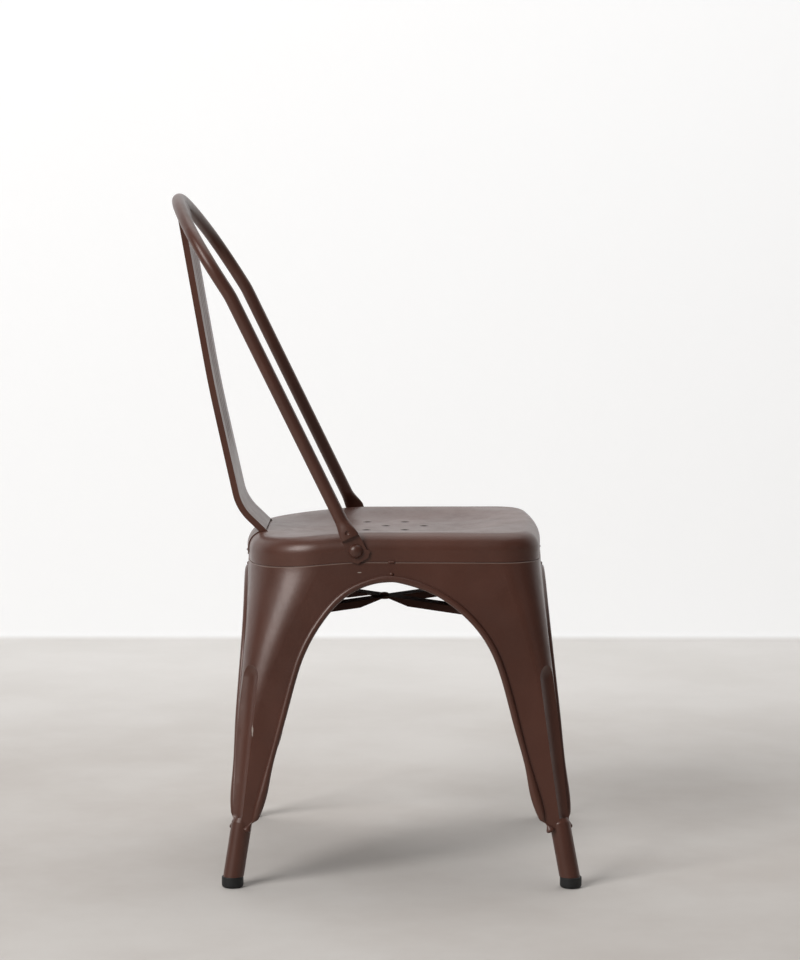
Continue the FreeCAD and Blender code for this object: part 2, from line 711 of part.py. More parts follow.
def hoop_path():
    """The hoop's centre line from one round end over the top to the other."""
    lean = math.radians(size.upper_lean)
    flare = math.radians(size.hoop_flare)

    def on_slope(x, climb):
        rise = widest_height + climb * math.cos(lean)
        back = crown_back - tangent(size.upper_lean) * (hoop_top - rise)
        return Vector(x, back, rise)

    inner = size.hoop_half - size.hoop_corner
    corner = size.hoop_corner
    top_radius = (inner ** 2 + size.hoop_rise ** 2 - corner ** 2) / (2.0 * (size.hoop_rise - corner))
    turn = math.atan2(top_radius - size.hoop_rise, inner)
    shoulder_start = on_slope(inner + corner * math.cos(flare), -corner * math.sin(flare))
    shoulder_angle = (turn - flare) / 2.0
    shoulder_mid = on_slope(inner + corner * math.cos(shoulder_angle), corner * math.sin(shoulder_angle))
    shoulder_end = on_slope(inner + corner * math.cos(turn), corner * math.sin(turn))
    crown = on_slope(0.0, size.hoop_rise)
    down = (widest_height - size.knee_height) / math.cos(lean)
    knee_x = shoulder_start.x - math.tan(flare) * (down - corner * math.sin(flare))
    knee = on_slope(knee_x, -down)
    start, middle, end = bend(round_end(), knee, shoulder_start, size.knee_radius)

    def other(point):
        return Vector(-point.x, point.y, point.z)

    direction = (start - round_end()).normalize()
    lower_end = round_end() - direction * (0.05 * size.crush_length)
    right = [
        Part.makeLine(lower_end, start),
        Part.Arc(start, middle, end).toShape(),
        Part.makeLine(end, shoulder_start),
        Part.Arc(shoulder_start, shoulder_mid, shoulder_end).toShape(),
    ]
    left = [
        Part.Arc(other(shoulder_end), other(shoulder_mid), other(shoulder_start)).toShape(),
        Part.makeLine(other(shoulder_start), other(end)),
        Part.Arc(other(end), other(middle), other(start)).toShape(),
        Part.makeLine(other(start), other(lower_end)),
    ]
    top = [Part.Arc(shoulder_end, crown, other(shoulder_end)).toShape()]
    return Part.Wire(right + top + left), lower_end, direction


def ring_section(centre, across, through, width, depth, power):
    """A closed, rounded section: a circle when power is 2, flatter as it grows."""
    points = []
    count = 24
    for step in range(count):
        angle = 2.0 * math.pi * step / count
        c, s = math.cos(angle), math.sin(angle)
        a = math.copysign(abs(c) ** (2.0 / power), c) * width / 2.0
        b = math.copysign(abs(s) ** (2.0 / power), s) * depth / 2.0
        points.append(centre + across * a + through * b)
    curve = Part.BSplineCurve()
    curve.interpolate(Points=points, PeriodicFlag=True)
    return Part.Wire(curve.toShape())


def crush_at(direction, share):
    """One section of the crushed end, share of the way up it: centre, way out, width and depth."""
    foot, along, out = rivet_frame()
    upward, forward = hoop_line()
    flat = smooth((0.9 - share) / 0.86)
    width = between(size.tube + 0.1, size.tab_front + size.tab_back, flat)
    depth = between(size.tube + 0.1, size.tab_thick, 0.62 * flat)
    lead = (size.tab_front - size.tab_back) / 2.0
    on_tube = round_end() - direction * (size.crush_length * (1.0 - share))
    on_tab = foot + upward * (size.tab_step + size.crush_length * share)
    on_tab = on_tab + out * (depth / 2.0 + 0.1) + forward * lead
    outward = (direction.cross(forward).normalize() * (1.0 - flat) + out * flat).normalize()
    return on_tube + (on_tab - on_tube) * flat, outward, width, depth


def crushed_end(direction):
    """The tube where it narrows from round to flat above the crease, with the dent in its face."""
    foot, along, out = rivet_frame()
    upward, forward = hoop_line()
    sections = []
    for share in (1.0, 0.9, 0.8, 0.68, 0.56, 0.44, 0.31, 0.19, 0.08):
        centre, through, width, depth = crush_at(direction, share)
        power = 2.0 + 0.6 * smooth(0.9 - share)
        sections.append(ring_section(centre, forward, through, width, depth, power))
    end = Part.makeLoft(sections, True, False)
    centre, through, width, depth = crush_at(direction, size.dimple_rise / size.crush_length)
    deep = 1.6
    ball = (size.dimple ** 2 / 4.0 + deep ** 2) / (2.0 * deep)
    return end.cut(Part.makeSphere(ball, centre + through * (depth / 2.0 + ball - deep)))


def tab_plate():
    """The flattened end: a plate against the skirt with a splayed lower edge."""
    foot, along, out = rivet_frame()
    upward, forward = hoop_line()
    ear = 4.2
    outline = [
        (-size.tab_back + 0.3, size.tab_step + size.crush_length * 0.12),
        (-size.tab_back, 0.0),
        (-size.tab_back - 1.5, -size.tab_drop * 0.58),
        (-size.tab_back * 0.42, -size.tab_drop),
        (size.tab_front * 0.76, -size.tab_drop * 0.9),
        (size.tab_front + ear, -size.tab_drop * 0.47),
        (size.tab_front - 0.1, -size.tab_drop * 0.27),
        (size.tab_front, size.tab_step * 0.5),
        (size.tab_front - 0.8, size.tab_step + size.crush_length * 0.12),
    ]
    corners = [foot + forward * a + upward * b for a, b in outline]
    face = Part.Face(Part.makePolygon(corners + [corners[0]]))
    plate = face.extrude(out * size.tab_thick)
    standing = []
    for edge in plate.Edges:
        start, end = edge.Vertexes[0].Point, edge.Vertexes[-1].Point
        line = end - start
        below = (start - foot).dot(upward) < -2.0
        if below and abs(line.dot(out)) > 0.9 * size.tab_thick:
            standing.append(edge)
    return plate.makeFillet(2.4, standing)


def make_hoop():
    path, lower_end, direction = hoop_path()
    rings = []
    for radius in (tube_radius, tube_radius - size.tube_wall):
        circle = Part.makeCircle(radius, lower_end, direction)
        rings.append(path.makePipeShell([Part.Wire(circle)], True, False))
    tube = rings[0].cut(rings[1])
    end_piece = crushed_end(direction).fuse(tab_plate())
    hole_start, along, out = rivet_frame()
    hole = Part.makeCylinder(size.rivet_shank / 2.0 + size.hole_clearance, 30.0, hole_start - out * 10.0, out)
    end_piece = end_piece.cut(hole)
    return tube.fuse([end_piece, flip(end_piece)])


# Back splat.
def splat_line():
    """The splat's side view: top, hollow, bend and foot of the outer face that carries the ribs."""
    crest = size.rim_height - dip(size.seat_rear - size.rim_radius)
    top = Vector(0, crown_back - size.splat_set, hoop_top)
    hollow = top - Vector(0, tangent(size.splat_lean), 1.0) * (hoop_top - size.splat_hollow_height)
    fall = size.splat_hollow_height - size.splat_bend_height
    knee = hollow - Vector(0, tangent(size.splat_low_lean), 1.0) * fall
    foot = knee - Vector(0, tangent(size.splat_foot_lean), 1.0) * (size.splat_bend_height - crest)
    return top, hollow, knee, foot


def square_to(way):
    """Straight back from the splat's face where it runs along way."""
    return Vector(0, way.z, -way.y)


def splat_slice(near, far, left, right):
    """A band of the splat between two depths behind its face, from left to right across it."""
    top, hollow, knee, foot = splat_line()
    upper = square_to((top - hollow).normalize())
    middle = square_to((hollow - knee).normalize())
    lower = square_to((knee - foot).normalize())
    high = bend(top, hollow, knee, size.splat_hollow_radius)
    low = bend(hollow, knee, foot, size.splat_bend_radius)
    ways = (upper, upper, (upper + middle).normalize(), middle,
            middle, (middle + lower).normalize(), lower, lower)

    def line(offset):
        return [point + way * offset for point, way in zip((top,) + high + low + (foot,), ways)]

    front, back = line(near), line(far)
    edges = [Part.makeLine(front[-1], back[-1]), Part.makeLine(back[0], front[0])]
    for run in (front, back):
        edges.append(Part.makeLine(run[0], run[1]))
        edges.append(Part.Arc(run[1], run[2], run[3]).toShape())
        edges.append(Part.makeLine(run[3], run[4]))
        edges.append(Part.Arc(run[4], run[5], run[6]).toShape())
        edges.append(Part.makeLine(run[6], run[7]))
    band = Part.Face(Part.Wire(Part.__sortEdges__(edges)))
    band.translate(Vector(left, 0, 0))
    return band.extrude(Vector(right - left, 0, 0))


def on_splat(height):
    """A point of the splat's face above the bend, at this height, and the way forward from it."""
    top, hollow, knee, foot = splat_line()
    start, middle, end = bend(top, hollow, knee, size.splat_hollow_radius)
    upper = (top - hollow).normalize()
    lower = (hollow - knee).normalize()
    if height >= start.z:
        return top + upper * ((height - top.z) / upper.z), square_to(upper) * -1.0
    if height <= end.z:
        return end + lower * ((height - end.z) / lower.z), square_to(lower) * -1.0
    share = (start.z - height) / (start.z - end.z)
    ahead = (square_to(upper) * (share - 1.0) - square_to(lower) * share).normalize()
    centre = start - square_to(upper) * size.splat_hollow_radius
    return centre - ahead * size.splat_hollow_radius, ahead


def rib_pad(x, offset):
    """A long shallow lens on the face that sinks into it at both ends, moved forward by offset."""
    rings = []
    count = 12
    root = -0.35 * size.splat_sheet
    for step in range(count + 1):
        share = step / count
        spot, ahead = on_splat(between(size.rib_foot, size.rib_head, share))
        swell = smooth(min(share, 1.0 - share) * 8.0)
        rise = between(0.6 * root, size.rib_rise, swell) + offset
        base = spot + ahead * (root + offset) + Vector(x, 0, 0)
        side = Vector(size.rib_width / 2.0, 0, 0)
        crest = spot + ahead * rise + Vector(x, 0, 0)
        arc = cubic_arc(base - side, crest, base + side)
        rings.append(Part.Wire([arc, Part.makeLine(base + side, base - side)]))
    return Part.makeLoft(rings, True, False)


def make_splat():
    half = size.splat_width / 2.0
    body = splat_slice(0.0, size.splat_sheet, -half, half)
    for side in (-1, 1):
        edges = sorted((side * half, side * (half - size.splat_sheet)))
        body = body.fuse(splat_slice(0.0, size.splat_flange, edges[0], edges[1]))
    for column in (-1, 0, 1):
        body = body.fuse(rib_pad(column * size.rib_spacing, 0.0))
        body = body.cut(rib_pad(column * size.rib_spacing, -size.splat_sheet))
    low = size.rim_height - 2.0 * size.skirt_depth
    seat = seat_block(-size.splat_gap, low)
    inner = half - 1.5 * size.splat_sheet
    between_flanges = Part.makeBox(2.0 * inner, 2.0 * FAR, 2.0 * FAR, Vector(-inner, -FAR, 0))
    slit = seat_block(-size.splat_slit, low).common(between_flanges)
    body = body.cut([seat, slit]).fuse(tongue(seat))
    path, lower_end, direction = hoop_path()
    rod = path.makePipeShell([Part.Wire(Part.makeCircle(tube_radius, lower_end, direction))], True, False)
    above = Part.makeBox(2.0 * FAR, FAR, FAR, Vector(-FAR, 0, hoop_top))
    whole = body.cut([rod, above])
    return max(whole.Solids, key=lambda solid: solid.Volume)


def tongue(seat):
    """The hook that lies over the rim and down the back of the skirt, from flange to flange."""
    low = size.rim_height - 2.0 * size.skirt_depth
    crest = size.rim_height - dip(size.seat_rear - size.rim_radius)
    over = seat_block(-size.splat_gap - size.splat_sheet, low)
    start = splat_line()[-1].y + 3.0 * size.splat_sheet
    corner = Vector(-size.splat_width / 2.0, start, crest - size.tongue_drop)
    reach = Part.makeBox(size.splat_width, FAR, 2.0 * size.tongue_drop, corner)
    return over.cut(seat).common(reach)


# Cross braces under the seat.
def crossing():
    """Where the two braces cross, on the floor plan."""
    return Vector(0, size.brace_back, 0)


def brace_way(hand):
    """Along a brace from where they cross towards the rear leg on this side."""
    turn = math.radians(size.brace_turn)
    return Vector(hand * math.cos(turn), math.sin(turn), 0)


def make_brace(hand, top):
    """A strip with folded-down edges that fade out where the two braces cross."""
    along = brace_way(hand)
    across = Vector(-along.y, along.x, 0)
    half = size.brace_width / 2.0
    thick = size.brace_sheet

    def at(distance, side, height):
        return crossing() + along * distance + across * side + Vector(0, 0, height)

    def block(reach, half_width, depth):
        """A bar from reach to reach, depth deep below the brace's top."""
        level = top - depth
        ring = [at(-reach, -half_width, level), at(reach, -half_width, level),
                at(reach, half_width, level), at(-reach, half_width, level)]
        return Part.Face(Part.makePolygon(ring + [ring[0]])).extrude(Vector(0, 0, depth))

    lips = []
    full = size.brace_flat + size.brace_fade
    for side in (-half, half - thick):
        for way in (-1, 1):
            lip = [at(way * FAR, side, top), at(way * size.brace_flat, side, top),
                   at(way * size.brace_flat, side, top - thick), at(way * full, side, top - size.brace_lip),
                   at(way * FAR, side, top - size.brace_lip)]
            lips.append(Part.Face(Part.makePolygon(lip + [lip[0]])).extrude(across * thick))
    bar = block(FAR, half, thick).fuse(lips)
    inside = brace_space(size.sheet + size.brace_gap)
    shoe_bar = block(FAR, half - thick / 2.0, size.brace_shoe)
    shoes = inside.cut(brace_space(size.sheet + size.brace_gap + thick)).common(shoe_bar)
    hole = Part.makeCylinder(size.rivet_shank / 2.0 + size.hole_clearance, 50.0,
                             crossing() + Vector(0, 0, top - 25.0), Vector(0, 0, 1))
    return bar.common(inside).fuse(shoes).cut(hole)


def brace_space(inset):
    """The space inside the legs around the braces, this far in from the legs' outer faces."""
    levels = (size.brace_height - 1.5 * size.brace_shoe, size.brace_height + 2.0)
    return Part.makeLoft([leg_plan(level, inset).wire(level) for level in levels], True, True)


# Shapes that fit a document object of their own kind are made further down.
def keep(label, shape):
    """A piece whose shape is worked out above."""
    piece = doc.addObject("Part::Feature", label)
    piece.Label = label
    if shape.ShapeType != "Solid" and len(shape.Solids) == 1:
        shape = shape.Solids[0]
    piece.Shape = shape
    piece.Placement = Placement(Vector(0, frame_shift, 0), Rotation())
    return piece


def bound(piece, **formulas):
    """Ties properties of a document object to the sheet."""
    for name, formula in formulas.items():
        piece.setExpression(name.replace("__", "."), formula)


def place(piece, base, rotation=None):
    """Puts a finished piece where it belongs, in the chair's own frame."""
    piece.Placement = Placement(base + Vector(0, frame_shift, 0), rotation or Rotation())


# Rubber feet: a puck with a rounded lower edge and a slanting stem that plugs the tube.
def add_foot(label, hand, end):
    body = doc.addObject("PartDesign::Body", label)
    body.Label = label
    plane = [item for item in body.Origin.OriginFeatures if item.Role == "XY_Plane"][0]

    def disc(name, radius, formula):
        sketch = body.newObject("Sketcher::SketchObject", label + "_" + name)
        sketch.AttachmentSupport = (plane, [""])
        sketch.MapMode = "FlatFace"
        sketch.addGeometry(Part.Circle(Vector(0, 0, 0), Vector(0, 0, 1), radius), False)
        sketch.addConstraint(Sketcher.Constraint("Coincident", 0, 3, -1, 1))
        index = sketch.addConstraint(Sketcher.Constraint("Radius", 0, radius))
        sketch.renameConstraint(index, "radius")
        sketch.setExpression("Constraints.radius", formula)
        return sketch

    puck = body.newObject("PartDesign::Pad", label + "_puck")
    puck.Profile = disc("puck_outline", size.foot_diameter / 2.0, "Sizes.foot_diameter / 2")
    bound(puck, Length="Sizes.foot_height")
    doc.recompute()

    def ring_at(shape, level):
        names = []
        for number, edge in enumerate(shape.Edges, start=1):
            box = edge.BoundBox
            wide = box.XLength > size.foot_diameter * 0.9
            if wide and box.ZLength < 0.01 and abs(box.ZMin - level) < 0.01:
                names.append("Edge%d" % number)
        return names

    lower = body.newObject("PartDesign::Fillet", label + "_lower_edge")
    lower.Base = (puck, ring_at(puck.Shape, 0.0))
    bound(lower, Radius="Sizes.foot_round")
    doc.recompute()
    upper = body.newObject("PartDesign::Fillet", label + "_upper_edge")
    upper.Base = (lower, ring_at(lower.Shape, size.foot_height))
    bound(upper, Radius="Sizes.foot_ease")
    doc.recompute()
    inside = "Sizes.stub_diameter / 2 - Sizes.stub_wall - Sizes.plug_clearance"
    circle = disc("stem_outline", stub_radius - size.stub_wall - size.plug_clearance, inside)
    circle.setExpression("AttachmentOffset.Base.z", "Sizes.foot_height / 2")
    stem = body.newObject("PartDesign::Pad", label + "_stem")
    stem.Profile = circle
    stem.UseCustomVector = True
    axis = stub_axis(end)
    stem.Direction = Vector(hand * axis.x, axis.y, axis.z)
    stem.AlongSketchNormal = True
    bound(stem, Length="Sizes.foot_height / 2 + Sizes.plug_length")
    body.Tip = stem
    place(body, Vector(hand * size.stance_width / 2.0, end * size.stance_depth / 2.0, 0))
    return body


def add_part(kind, name, **formulas):
    """One primitive of the Part workbench, tied to the sheet."""
    piece = doc.addObject("Part::" + kind, name)
    bound(piece, **formulas)
    return piece


def add_union(label, pieces):
    union = doc.addObject("Part::MultiFuse", label)
    union.Label = label
    union.Shapes = pieces
    return union


# Hoop rivets: a domed head, a shank through tab, skirt and washer, and a set head inside.
GRIP = "(Sizes.tab_thick + Sizes.sheet + Sizes.washer_thick)"


def add_hoop_rivet(label, hand):
    dome = add_part("Ellipsoid", label + "_dome", Radius1="Sizes.rivet_dome", Radius2="Sizes.rivet_head / 2",
                    Radius3="Sizes.rivet_head / 2")
    dome.Angle1 = 0.0
    shank = add_part("Cylinder", label + "_shank", Radius="Sizes.rivet_shank / 2",
                     Height=GRIP + " + Sizes.rivet_set", Placement__Base__z="-" + GRIP + " - Sizes.rivet_set")
    tail = add_part("Cylinder", label + "_tail", Radius="Sizes.rivet_tail / 2", Height="Sizes.rivet_set",
                    Placement__Base__z="-" + GRIP + " - Sizes.rivet_set")
    rivet = add_union(label, [dome, shank, tail])
    foot, along, out = rivet_frame()
    base = foot + out * size.tab_thick
    place(rivet, Vector(hand * base.x, base.y, base.z), Rotation(Vector(0, 0, 1), Vector(hand * out.x, out.y, 0)))
    return rivet


def add_washer(label, hand):
    disc = add_part("Cylinder", label + "_disc", Radius="Sizes.washer / 2", Height="Sizes.washer_thick")
    hole = add_part("Cylinder", label + "_hole", Radius="Sizes.rivet_shank / 2 + Sizes.hole_clearance",
                    Height="Sizes.washer_thick + 2", Placement__Base__z="-1")
    ring = doc.addObject("Part::Cut", label)
    ring.Label = label
    ring.Base = disc
    ring.Tool = hole
    foot, along, out = rivet_frame()
    base = foot - out * (size.sheet + size.washer_thick)
    place(ring, Vector(hand * base.x, base.y, base.z), Rotation(Vector(0, 0, 1), Vector(hand * out.x, out.y, 0)))
    return ring


def add_brace_rivet(label):
    """The rivet that holds the two braces together where they cross."""
    grip = "(2 * Sizes.brace_sheet)"
    dome = add_part("Ellipsoid", label + "_dome", Radius1="Sizes.rivet_dome / 2", Radius2="Sizes.washer / 2",
                    Radius3="Sizes.washer / 2", Placement__Base__z=grip)
    dome.Angle1 = 0.0
    shank = add_part("Cylinder", label + "_shank", Radius="Sizes.rivet_shank / 2",
                     Height=grip + " + Sizes.rivet_set", Placement__Base__z="-Sizes.rivet_set")
    tail = add_part("Cylinder", label + "_tail", Radius="Sizes.rivet_tail / 2", Height="Sizes.rivet_set",
                    Placement__Base__z="-Sizes.rivet_set")
    rivet = add_union(label, [dome, shank, tail])
    place(rivet, crossing() + Vector(0, 0, size.brace_height - 2.0 * size.brace_sheet))
    return rivet


# Welds: short runs and pips, trimmed where they meet the pieces they join.
def weld_run(centre, length, thickness, turn=0.0):
    """A rod with round ends, along X and then turned about Z."""
    way = Vector(math.cos(math.radians(turn)), math.sin(math.radians(turn)), 0)
    reach = (length - thickness) / 2.0
    rod = Part.makeCylinder(thickness / 2.0, 2.0 * reach, centre - way * reach, way)
    ends = [Part.makeSphere(thickness / 2.0, centre + way * side * reach) for side in (-1, 1)]
    return rod.fuse(ends)


def trimmed(blobs, neighbours):
    """What shows of each blob outside the pieces that it joins, as a group of solids."""
    shown = []
    for blob in blobs:
        rest = blob
        for neighbour in neighbours:
            if rest.BoundBox.intersect(neighbour.BoundBox):
                rest = rest.cut(neighbour)
        shown.append(max(rest.Solids, key=lambda solid: solid.Volume))
    return Part.makeCompound(shown)


def face_spots(level_side, level_front, level_rear):
    """Where neighbouring legs meet: a point on each outer face, and the turn that lays X along it."""
    side = leg_plan(level_side)
    half = side.side(size.side_seam)
    front = leg_plan(level_front)
    rear = leg_plan(level_rear)
    return [
        (Vector(half, size.side_seam, level_side), 90.0),
        (Vector(-half, size.side_seam, level_side), 90.0),
        (Vector(0, front.front, level_front), 0.0),
        (Vector(0, rear.rear, level_rear), 0.0),
    ]


def make_crown_welds(neighbours):
    """A pip above each arch, where the rolled edges of two legs meet."""
    above = bead_radius + 0.27 * size.weld_pip
    side = size.crown_side + above
    end = size.crown_end + above
    blobs = [Part.makeSphere(size.weld_pip / 2.0, spot) for spot, turn in face_spots(side, end, end)]
    return trimmed(blobs, neighbours)


def make_tack_welds(neighbours):
    """A short tack across the groove between skirt and legs, above each joint of two legs."""
    middle = seam_height - size.seam_gap / 2.0
    spots = face_spots(middle - dip(size.side_seam), middle, middle - size.rim_dip)
    blobs = [weld_run(spot, size.tack_length, size.weld_bead, turn) for spot, turn in spots]
    return trimmed(blobs, neighbours)


def hoop_axis(x):
    """The hoop's axis at x, on the arc over the top."""
    inner = size.hoop_half - size.hoop_corner
    rise = size.hoop_rise
    radius = (inner ** 2 + rise ** 2 - size.hoop_corner ** 2) / (2.0 * (rise - size.hoop_corner))
    drop = radius - math.sqrt(radius ** 2 - x ** 2)
    lean = math.radians(size.upper_lean)
    return Vector(x, crown_back - drop * math.sin(lean), hoop_top - drop * math.cos(lean))


def make_splat_welds(neighbours):
    """Two runs under the hoop, behind the splat."""
    top, hollow, knee, foot = splat_line()
    upward = (top - hollow).normalize()
    behind = square_to(upward)
    blobs = []
    for x in (-0.36 * size.splat_width, 0.36 * size.splat_width):
        axis = hoop_axis(x)
        off = (axis - top).dot(behind) - size.splat_sheet
        below = math.sqrt(tube_radius ** 2 - off ** 2)
        spot = axis - behind * off - upward * below
        blobs.append(weld_run(spot, 2.0 * size.tack_length, size.weld_bead))
    return trimmed(blobs, neighbours)


def make_tongue_welds(neighbours):
    """Two tacks under the tongue's lower edge, on the back of the skirt."""
    crest = size.rim_height - dip(size.seat_rear - size.rim_radius)
    blobs = []
    for x in (-0.2 * size.splat_width, 0.2 * size.splat_width):
        y = seat_plan(-size.splat_gap - size.splat_sheet / 2.0).end(x, 1)
        spot = Vector(x, y, crest - size.tongue_drop)
        blobs.append(weld_run(spot, size.tack_length, 0.8 * size.weld_bead))
    return trimmed(blobs, neighbours)


def make_brace_welds(neighbours):
    """A run along the lower edge of each brace's end, on the inside of the leg."""
    blobs = []
    for hand, top in ((1, size.brace_height), (-1, size.brace_height - size.brace_sheet)):
        level = top - size.brace_shoe
        face = leg_plan(level, size.sheet).wire(level)
        centre = crossing() + Vector(0, 0, level)
        for way in (brace_way(hand), brace_way(hand) * -1.0):
            spot = face.distToShape(Part.makeLine(centre, centre + way * FAR))[1][0][0]
            turn = math.degrees(math.atan2(way.y, way.x)) + 90.0
            blobs.append(weld_run(spot, 1.6 * size.tack_length, size.weld_bead, turn))
    return trimmed(blobs, neighbours)


legs = {
    "leg_front_left": make_leg(-1),
    "leg_rear_left": make_leg(1),
}
legs["leg_front_right"] = flip(legs["leg_front_left"])
legs["leg_rear_right"] = flip(legs["leg_rear_left"])
pieces = [keep(label, shape) for label, shape in legs.items()]
pan = make_seat_pan()
pieces.append(keep("seat_pan", pan))
hoop = make_hoop()
pieces.append(keep("back_hoop", hoop))
splat = make_splat()
pieces.append(keep("back_splat", splat))
braces = [make_brace(1, size.brace_height), make_brace(-1, size.brace_height - size.brace_sheet)]
pieces.append(keep("brace_upper", braces[0]))
pieces.append(keep("brace_lower", braces[1]))
all_legs = list(legs.values())
pieces.append(keep("leg_crown_welds", make_crown_welds(all_legs)))
pieces.append(keep("skirt_tack_welds", make_tack_welds(all_legs + [pan])))
pieces.append(keep("splat_hoop_welds", make_splat_welds([hoop, splat])))
pieces.append(keep("splat_seat_welds", make_tongue_welds([pan, splat])))
pieces.append(keep("brace_end_welds", make_brace_welds(all_legs + braces)))
pieces.append(add_brace_rivet("brace_rivet"))
for side_name, hand in (("left", 1), ("right", -1)):
    pieces.append(add_hoop_rivet("hoop_rivet_" + side_name, hand))
    pieces.append(add_washer("hoop_washer_" + side_name, hand))
    pieces.append(add_foot("foot_front_" + side_name, hand, -1))
    pieces.append(add_foot("foot_rear_" + side_name, hand, 1))

doc.recompute()
for piece in pieces:
    for word in ("Invalid", "Error"):
        if word in piece.State:
            raise RuntimeError("%s is %s" % (piece.Label, word))
    if piece.Shape.isNull() or not piece.Shape.isValid():
        raise RuntimeError("%s has no valid shape" % piece.Label)

os.makedirs("parts", exist_ok=True)
for piece in pieces:
    piece.Shape.exportStep(os.path.join("parts", piece.Label + ".step"))
    print(piece.Label, len(piece.Shape.Solids), round(piece.Shape.Volume / 1000.0, 2), "cm3")
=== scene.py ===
# %% [markdown]
# # A brown pressed-steel side chair
#
# The real chair is stamped from thin sheet steel: a dished seat, four legs that flow together
# into an apron, a bent tube round the back and a folded splat in its middle. It is painted
# brown all over and stands on black rubber feet.
#
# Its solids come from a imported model, in metres, with +Z up and the chair's front towards -Y.
# They already have the chair's shapes, welds and rivets included, so nothing is modelled again
# here. What is left for Blender is the look: the paint and its wear, the rubber, a plain
# studio, and a camera that sees the chair as the photograph does.

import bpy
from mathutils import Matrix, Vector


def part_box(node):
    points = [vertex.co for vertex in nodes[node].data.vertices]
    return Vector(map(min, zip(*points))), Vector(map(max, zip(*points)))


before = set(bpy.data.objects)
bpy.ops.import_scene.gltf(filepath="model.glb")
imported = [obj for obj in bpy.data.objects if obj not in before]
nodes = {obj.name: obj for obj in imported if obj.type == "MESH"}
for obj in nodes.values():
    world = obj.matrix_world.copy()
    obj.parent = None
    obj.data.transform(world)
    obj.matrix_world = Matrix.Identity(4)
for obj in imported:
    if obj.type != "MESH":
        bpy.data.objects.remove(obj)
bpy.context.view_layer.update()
print(len(nodes), "nodes from the packed model")

# %% Modules
import math

import bpy
from mathutils import Vector

print("Blender", bpy.app.version_string)


# %% [markdown]
# ## A short way to write shader maths
#
# A material is a graph of nodes, and every sum in it is a Math node with its links. It could
# be drawn by hand, but twenty sums soon fill a screen. Here each output socket is wrapped in a
# small class whose operators add the Math nodes, so the graph reads as ordinary sums, such as
# `noise * 0.2 + 0.5`. One method adds any other kind of node. The last two methods are the
# steps that paint needs most: a soft threshold, and a mix of two colours.

# %% Shader maths
# A Mix node has sockets for every kind of data. These are the ones that mix colours.
MIX_FACTOR, MIX_FIRST, MIX_SECOND = 0, 6, 7
MIX_RESULT = 2


def plug(node, inputs):
    """Links or sets the inputs of a node, each given by its name or number."""
    for key, value in inputs.items():
        if isinstance(value, Wire):
            node.id_data.links.new(value.socket, node.inputs[key])
        else:
            node.inputs[key].default_value = value


class Wire:
    """An output socket of a shader graph. Arithmetic on it adds a Math node."""

    def __init__(self, socket):
        self.socket = socket

    def node(self, kind, settings, inputs, output=0):
        """Adds any other node to the graph: its settings first, then its inputs."""
        made = self.socket.id_data.nodes.new(kind)
        for name, value in settings.items():
            setattr(made, name, value)
        plug(made, inputs)
        return Wire(made.outputs[output])

    def maths(self, operation, *others):
        """A Math node of this value and the others, in that order."""
        return self.node("ShaderNodeMath", {"operation": operation}, dict(enumerate((self, *others))))

    def vector(self, operation, other, output="Vector"):
        """A Vector Math node of this vector and another one."""
        return self.node("ShaderNodeVectorMath", {"operation": operation}, {0: self, 1: other}, output)

    def __add__(self, other):
        return self.maths("ADD", other)

    def __sub__(self, other):
        return self.maths("SUBTRACT", other)

    def __mul__(self, other):
        return self.maths("MULTIPLY", other)

    def __radd__(self, other):
        return self + other

    def __rsub__(self, other):
        return self * -1.0 + other

    def __rmul__(self, other):
        return self * other

    def step(self, low, high):
        """0 below low, 1 above high, smooth between them."""
        settings = {"interpolation_type": "SMOOTHSTEP"}
        return self.node("ShaderNodeMapRange", settings, {"Value": self, "From Min": low, "From Max": high})

    def mix(self, first, second):
        """The first colour where this value is 0, the second where it is 1."""
        first, second = (c if isinstance(c, Wire) else (*c, 1.0) for c in (first, second))
        inputs = {MIX_FACTOR: self, MIX_FIRST: first, MIX_SECOND: second}
        return self.node("ShaderNodeMix", {"data_type": "RGBA"}, inputs, MIX_RESULT)


print("sums on sockets now add nodes")

# %% [markdown]
# ## Patterns that sit on the chair
#
# Every pattern here reads object coordinates, which are metres in the chair's own frame. A UV
# map would do as well, but the chair's many folds would all need unwrapping. In object
# coordinates a pattern runs unbroken round a fold, has its real size, and a mark can be put at
# a place that was measured on the chair.

# %% Helpers for every material
def new_material(name):
    """A material, its shader, and the wire of its object coordinates."""
    material = bpy.data.materials.new(name)
    material.use_nodes = True
    graph = material.node_tree
    coordinates = graph.nodes.new("ShaderNodeTexCoord")
    return material, graph.nodes["Principled BSDF"], Wire(coordinates.outputs["Object"])


def noise(place, scale, detail, roughness):
    """Soft noise from 0 to 1. A larger scale gives smaller lumps."""
    inputs = {"Vector": place, "Scale": scale, "Detail": detail, "Roughness": roughness}
    return place.node("ShaderNodeTexNoise", {}, inputs)


def along(place, axis):
    """One coordinate of a place, in metres. The axis is X, Y or Z."""
    return place.node("ShaderNodeSeparateXYZ", {}, {"Vector": place}, axis)


def bump(height, strength):
    """A surface direction from a height in metres."""
    return height.node("ShaderNodeBump", {}, {"Strength": strength, "Distance": 1.0, "Height": height})


def smallest(values):
    """The smallest of several values, point by point."""
    least, *others = values
    for value in others:
        least = least.maths("MINIMUM", value)
    return least


print("helpers for materials")

# %% [markdown]
# ## The brown paint
#
# The real paint is a powder coat, baked on. It is satin, drifts slowly in tone, and has a fine
# skin like an orange's. A flat brown would look like plastic. Noise at a few sizes gives what
# the eye expects at any distance: a slow one and a fine one for the colour, smudges for the
# gloss, and a fine skin over slow waves for the height.

